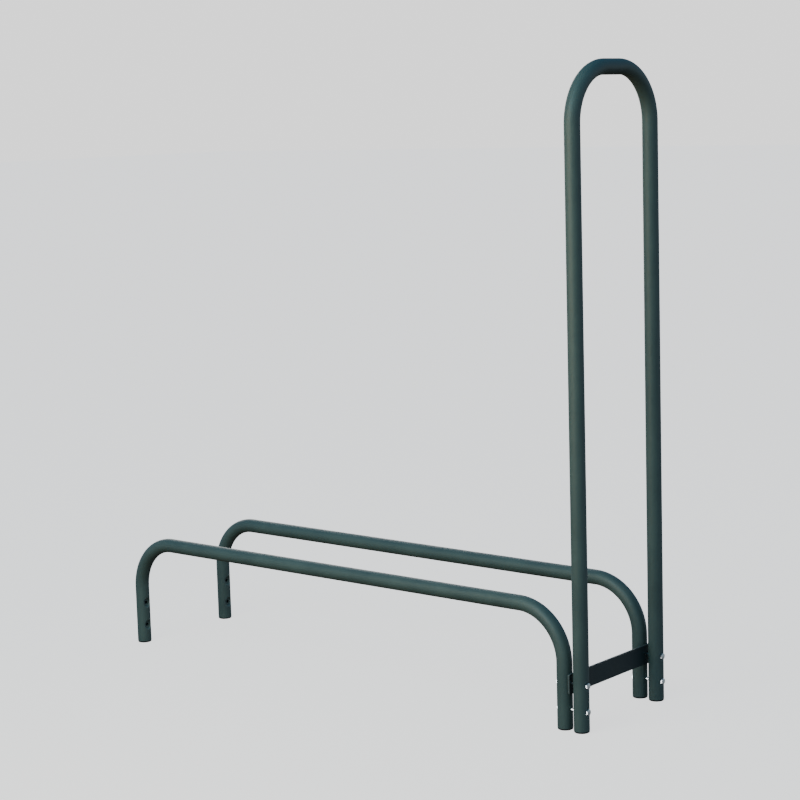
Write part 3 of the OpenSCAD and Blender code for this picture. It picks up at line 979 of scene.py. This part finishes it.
def make_nut(name, node):
    low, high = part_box(node)
    height = high.x - low.x
    bore = BOLT_DIAMETER / 2 + BORE_PLAY
    mouth = bore + COUNTERSINK + TOOL_PAST
    nut = make_hexagon(name + "_blank", height, True)
    reach = height / 2 + TOOL_PAST
    tool = lathe(name + "_tool", [(0, -reach), (mouth, -reach), (bore, COUNTERSINK - height / 2),
                                  (bore, height / 2 - COUNTERSINK), (mouth, reach), (0, reach)])
    combine(nut, tool, "DIFFERENCE")
    piece = keep_mesh(nut, name)
    bpy.data.objects.remove(tool)
    join_flat_faces(piece)
    lay_along_x(piece, (low + high) / 2)
    smooth(piece, FLAT_CREASE)
    report(piece)
    return piece


zinc_pieces = bpy.data.collections.new("zinc_pieces")
glint.light_linking.receiver_collection = zinc_pieces
for corner in ("front_upper", "front_lower", "rear_upper", "rear_lower"):
    for kind, make in (("bolt", make_bolt), ("nut", make_nut)):
        node = f"{kind}_{corner}"
        piece = make("hex_" + node, node)
        hand_over(piece, node)
        zinc_pieces.objects.link(piece)

# %% [markdown]
# ## End plugs
# Each plug is one moulding: a foot with a rounded edge that the tube stands on, and a hollow stem whose
# tapered ribs grip the bore. It is round about the tube's axis, so half of its section, turned once
# round, makes all of it. The underside has a shallow recess with the pip where the plastic flowed in.

# %% Make the plugs
PLUG_FOOT = 3.5 * MM
PLUG_EDGE = 1.8 * MM
PLUG_FIT = 0.05 * MM
RIB_HEIGHT = 1 * MM
RIB_COUNT = 3
STEM_WALL = 2 * MM
RECESS_RADIUS, RECESS_DEPTH = 8 * MM, 0.5 * MM
GATE_RADIUS, GATE_HEIGHT = 1.2 * MM, 0.3 * MM
RIB_TIP, RIB_TAPER = 0.3 * MM, 0.6
SHOULDER_EDGE, MOUTH_EDGE, ROOT_EDGE = 0.2 * MM, 0.4 * MM, 0.5 * MM
PLUG_CREASE = 30


def plug_profile(foot_radius, height):
    rib_radius = tube_radius - TUBE_WALL - PLUG_FIT
    stem = rib_radius - RIB_HEIGHT
    pitch = (height - PLUG_FOOT) / (RIB_COUNT + 0.5)
    underside = [(0, RECESS_DEPTH - GATE_HEIGHT), (GATE_RADIUS, RECESS_DEPTH - GATE_HEIGHT),
                 (GATE_RADIUS, RECESS_DEPTH), (RECESS_RADIUS - RECESS_DEPTH, RECESS_DEPTH),
                 (RECESS_RADIUS, 0)]
    edge = arc(foot_radius - PLUG_EDGE, PLUG_EDGE, PLUG_EDGE, -90, 0)
    shoulder = [(foot_radius, PLUG_FOOT - SHOULDER_EDGE), (foot_radius - SHOULDER_EDGE, PLUG_FOOT),
                (stem, PLUG_FOOT)]
    ribs = []
    for i in range(RIB_COUNT):
        base = PLUG_FOOT + pitch * (i + 0.5)
        ribs += [(stem, base), (rib_radius, base), (rib_radius, base + RIB_TIP),
                 (stem, base + RIB_TAPER * pitch)]
    mouth = [(stem, height - MOUTH_EDGE), (stem - MOUTH_EDGE, height), (stem - STEM_WALL, height)]
    hollow = [(stem - STEM_WALL, PLUG_FOOT + ROOT_EDGE), (stem - STEM_WALL - ROOT_EDGE, PLUG_FOOT),
              (0, PLUG_FOOT)]
    return underside + edge + shoulder + ribs + mouth + hollow


def make_plug(name, node):
    low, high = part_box(node)
    piece = lathe(name, plug_profile((high.y - low.y) / 2, high.z - low.z))
    piece.data.transform(Matrix.Translation(((low.x + high.x) / 2, (low.y + high.y) / 2, low.z)))
    piece.data.materials.append(plug_plastic)
    smooth(piece, PLUG_CREASE)
    return piece


for node in sorted(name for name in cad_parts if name.startswith("plug_")):
    plug = make_plug(node.replace("plug", "foot_plug"), node)
    hand_over(plug, node)
    report(plug)
